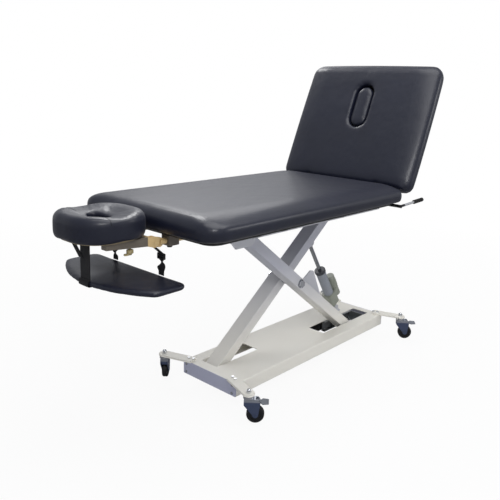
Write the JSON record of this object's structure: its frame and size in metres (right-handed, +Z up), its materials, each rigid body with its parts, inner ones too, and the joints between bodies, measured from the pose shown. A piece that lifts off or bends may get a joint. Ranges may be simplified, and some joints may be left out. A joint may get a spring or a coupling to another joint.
{
  "type": "electric massage table",
  "caption": "Electric height-adjustable massage table on castors: scissor lift with linear actuator, padded seat, ratchet backrest with breathing hole, face cradle and hanging arm shelf.",
  "frame": {"origin": "on the floor below the middle of the whole table's bounding box", "axes": "+X from the face cradle toward the backrest, +Y away from the release lever's side, +Z up"},
  "size_m": [1.7304, 0.71, 1.3278],
  "materials": {
    "pan_cream": "cream powder coat",
    "end_plate_lilac": "lilac-grey paint",
    "frame_grey": "grey powder coat",
    "track_steel": "zinc-plated sheet",
    "bright_steel": "bright plated",
    "axle_steel": "ground steel",
    "roller_nylon": "natural nylon",
    "box_black": "moulded black",
    "actuator_grey": "light grey anodised",
    "gear_green": "greenish grey casting",
    "cap_dark": "dark moulded cap",
    "fork_blue": "blue-grey pressed steel",
    "wheel_black": "black tread",
    "pedal_grey": "grey moulded",
    "board_ply": "black stained plywood",
    "vinyl_navy": "navy-black vinyl",
    "hinge_black": "black paint",
    "grip_black": "ribbed black grip",
    "wood_light": "clear lacquered beech",
    "socket_taupe": "grey-brown moulded",
    "foot_black": "black rubber",
    "cam_cream": "cream moulded",
    "strap_black": "woven black webbing",
    "buckle_black": "moulded black"
  },
  "bodies": {
    "base": {"base_pan": "pan_cream", "head_end_plate": "end_plate_lilac", "foot_end_plate": "end_plate_lilac", "castor_bars": "pan_cream", "castor_studs": "bright_steel", "base_fasteners": "bright_steel", "arm_a_foot_bracket": "frame_grey", "slide_track": "track_steel", "actuator_clevis": "frame_grey", "control_box": "box_black"},
    "arm_a": {"arm_a_tube": "frame_grey", "arm_a_axle": "axle_steel", "actuator_lugs": "frame_grey"},
    "upper_roller_pair": {"upper_rollers": "roller_nylon"},
    "arm_b": {"arm_b_tube": "frame_grey", "arm_b_axle": "axle_steel", "gusset_plate": "frame_grey", "centre_bolt": "bright_steel"},
    "lower_roller_pair": {"lower_rollers": "roller_nylon"},
    "top": {"top_frame": "frame_grey", "arm_b_top_bracket": "frame_grey", "arm_b_top_pin": "bright_steel", "seat_board": "board_ply", "seat_cushion": "vinyl_navy", "hinge_brackets": "hinge_black", "cradle_sockets": "socket_taupe", "socket_feet": "foot_black"},
    "backrest": {"backrest_board": "board_ply", "backrest_cushion": "vinyl_navy", "ratchet_hinges": "hinge_black"},
    "plug": {"breathing_plug": "vinyl_navy"},
    "release": {"release_shaft": "axle_steel", "lever_grip": "grip_black", "pawls": "hinge_black"},
    "actuator": {"actuator_tube": "actuator_grey", "actuator_gearbox": "gear_green", "actuator_cap": "cap_dark"},
    "rod": {"actuator_rod": "axle_steel"},
    "cradle_slide": {"cradle_dowels": "wood_light"},
    "cradle_head": {"cradle_arms": "wood_light", "cradle_knuckles": "wood_light", "cradle_platform": "wood_light", "cradle_cushion": "vinyl_navy"},
    "cam": {"cam_lever": "cam_cream"},
    "front_hanger": {"front_strap": "strap_black"},
    "shelf": {"arm_shelf": "vinyl_navy"},
    "rear_hangers": {"rear_straps": "strap_black", "strap_buckles": "buckle_black"},
    "swivel_1": {"castor_fork_1": "fork_blue"},
    "wheel_1": {"castor_wheel_1": "wheel_black"},
    "pedal_1": {"brake_pedal_1": "pedal_grey"},
    "swivel_2": {"castor_fork_2": "fork_blue"},
    "wheel_2": {"castor_wheel_2": "wheel_black"},
    "pedal_2": {"brake_pedal_2": "pedal_grey"},
    "swivel_3": {"castor_fork_3": "fork_blue"},
    "wheel_3": {"castor_wheel_3": "wheel_black"},
    "pedal_3": {"brake_pedal_3": "pedal_grey"},
    "swivel_4": {"castor_fork_4": "fork_blue"},
    "wheel_4": {"castor_wheel_4": "wheel_black"},
    "pedal_4": {"brake_pedal_4": "pedal_grey"}
  },
  "joints": [
    {"name": "lift", "type": "hinge", "parent": "base", "child": "arm_a", "pos_m": [-0.19018, 0, 0.078], "axis": [0, -1, 0], "range_deg": [-10, 5]},
    {"name": "scissor", "type": "hinge", "parent": "arm_a", "child": "arm_b", "pos_m": [0.19516, 0, 0.37906], "axis": [0, -1, 0], "range_deg": [-10, 20]},
    {"name": "top_level", "type": "hinge", "parent": "arm_b", "child": "top", "pos_m": [-0.19018, 0, 0.68012], "axis": [0, -1, 0], "range_deg": [-10, 5]},
    {"name": "upper_roll", "type": "hinge", "parent": "arm_a", "child": "upper_roller_pair", "pos_m": [0.5805, 0, 0.68012], "axis": [0, 1, 0], "continuous": true},
    {"name": "lower_roll", "type": "hinge", "parent": "arm_b", "child": "lower_roller_pair", "pos_m": [0.5805, 0, 0.078], "axis": [0, 1, 0], "continuous": true},
    {"name": "actuator_swing", "type": "hinge", "parent": "base", "child": "actuator", "pos_m": [0.63682, 0.047, 0.126], "axis": [0, -1, 0], "range_deg": [-0.35, 0.2]},
    {"name": "rod_extend", "type": "slide", "parent": "actuator", "child": "rod", "axis": [-0.5236, 0, 0.852], "range_m": [-0.1285, 0.0645]},
    {"name": "backrest_tilt", "type": "hinge", "parent": "top", "child": "backrest", "pos_m": [0.56983, 0, 0.785], "axis": [0, -1, 0], "range_deg": [-66.2, 0]},
    {"name": "plug_pull", "type": "slide", "parent": "backrest", "child": "plug", "axis": [-0.915, 0, 0.4035], "range_m": [0, 0.07]},
    {"name": "release_lever", "type": "hinge", "parent": "top", "child": "release", "pos_m": [0.54683, 0, 0.712], "axis": [0, -1, 0], "range_deg": [-3.5, 8], "stiffness_Nm_per_rad": 6},
    {"name": "cradle_extend", "type": "slide", "parent": "top", "child": "cradle_slide", "axis": [-1, 0, 0], "range_m": [0, 0.06]},
    {"name": "cradle_tilt", "type": "hinge", "parent": "cradle_slide", "child": "cradle_head", "pos_m": [-0.60518, 0, 0.705], "axis": [0, -1, 0], "range_deg": [-5, 25]},
    {"name": "cam_turn", "type": "hinge", "parent": "cradle_head", "child": "cam", "pos_m": [-0.69317, -0.1, 0.696], "axis": [0, 0, 1], "range_deg": [-40, 40]},
    {"name": "hanger_swing", "type": "hinge", "parent": "cradle_head", "child": "front_hanger", "pos_m": [-0.77597, 0, 0.7256], "axis": [0, 1, 0], "range_deg": [-12, 12]},
    {"name": "shelf_level", "type": "hinge", "parent": "front_hanger", "child": "shelf", "pos_m": [-0.77597, 0, 0.5963], "axis": [0, 1, 0], "range_deg": [-12, 12]},
    {"name": "rear_swing", "type": "hinge", "parent": "shelf", "child": "rear_hangers", "pos_m": [-0.59118, 0, 0.5963], "axis": [0, 1, 0], "range_deg": [-12, 12]},
    {"name": "castor_swivel_1", "type": "hinge", "parent": "base", "child": "swivel_1", "pos_m": [-0.28518, 0.24, 0.093], "axis": [0, 0, 1], "continuous": true},
    {"name": "castor_roll_1", "type": "hinge", "parent": "swivel_1", "child": "wheel_1", "pos_m": [-0.26583, 0.25646, 0.033], "axis": [-0.6481, 0.7615, 0], "continuous": true},
    {"name": "brake_press_1", "type": "hinge", "parent": "swivel_1", "child": "pedal_1", "pos_m": [-0.25776, 0.26333, 0.08], "axis": [-0.6481, 0.7615, 0], "range_deg": [0, 9]},
    {"name": "castor_swivel_2", "type": "hinge", "parent": "base", "child": "swivel_2", "pos_m": [-0.28518, -0.24, 0.093], "axis": [0, 0, 1], "continuous": true},
    {"name": "castor_roll_2", "type": "hinge", "parent": "swivel_2", "child": "wheel_2", "pos_m": [-0.26871, -0.25934, 0.033], "axis": [0.7615, 0.6481, 0], "continuous": true},
    {"name": "brake_press_2", "type": "hinge", "parent": "swivel_2", "child": "pedal_2", "pos_m": [-0.26184, -0.26742, 0.08], "axis": [0.7615, 0.6481, 0], "range_deg": [0, 9]},
    {"name": "castor_swivel_3", "type": "hinge", "parent": "base", "child": "swivel_3", "pos_m": [0.79883, -0.24, 0.093], "axis": [0, 0, 1], "continuous": true},
    {"name": "castor_roll_3", "type": "hinge", "parent": "swivel_3", "child": "wheel_3", "pos_m": [0.81529, -0.25934, 0.033], "axis": [0.7615, 0.6481, 0], "continuous": true},
    {"name": "brake_press_3", "type": "hinge", "parent": "swivel_3", "child": "pedal_3", "pos_m": [0.82216, -0.26742, 0.08], "axis": [0.7615, 0.6481, 0], "range_deg": [0, 9]},
    {"name": "castor_swivel_4", "type": "hinge", "parent": "base", "child": "swivel_4", "pos_m": [0.79883, 0.24, 0.093], "axis": [0, 0, 1], "continuous": true},
    {"name": "castor_roll_4", "type": "hinge", "parent": "swivel_4", "child": "wheel_4", "pos_m": [0.81817, 0.25646, 0.033], "axis": [-0.6481, 0.7615, 0], "continuous": true},
    {"name": "brake_press_4", "type": "hinge", "parent": "swivel_4", "child": "pedal_4", "pos_m": [0.82624, 0.26333, 0.08], "axis": [-0.6481, 0.7615, 0], "range_deg": [0, 9]}
  ],
  "couplings": [
    {"joint": "scissor", "follows": "lift", "ratio": -2},
    {"joint": "top_level", "follows": "lift", "ratio": 1},
    {"joint": "actuator_swing", "follows": "lift", "ratio": 0.030667},
    {"joint": "rod_extend", "follows": "lift", "m_per_rad": 0.73392},
    {"joint": "shelf_level", "follows": "hanger_swing", "ratio": -1},
    {"joint": "rear_swing", "follows": "hanger_swing", "ratio": 1}
  ]
}
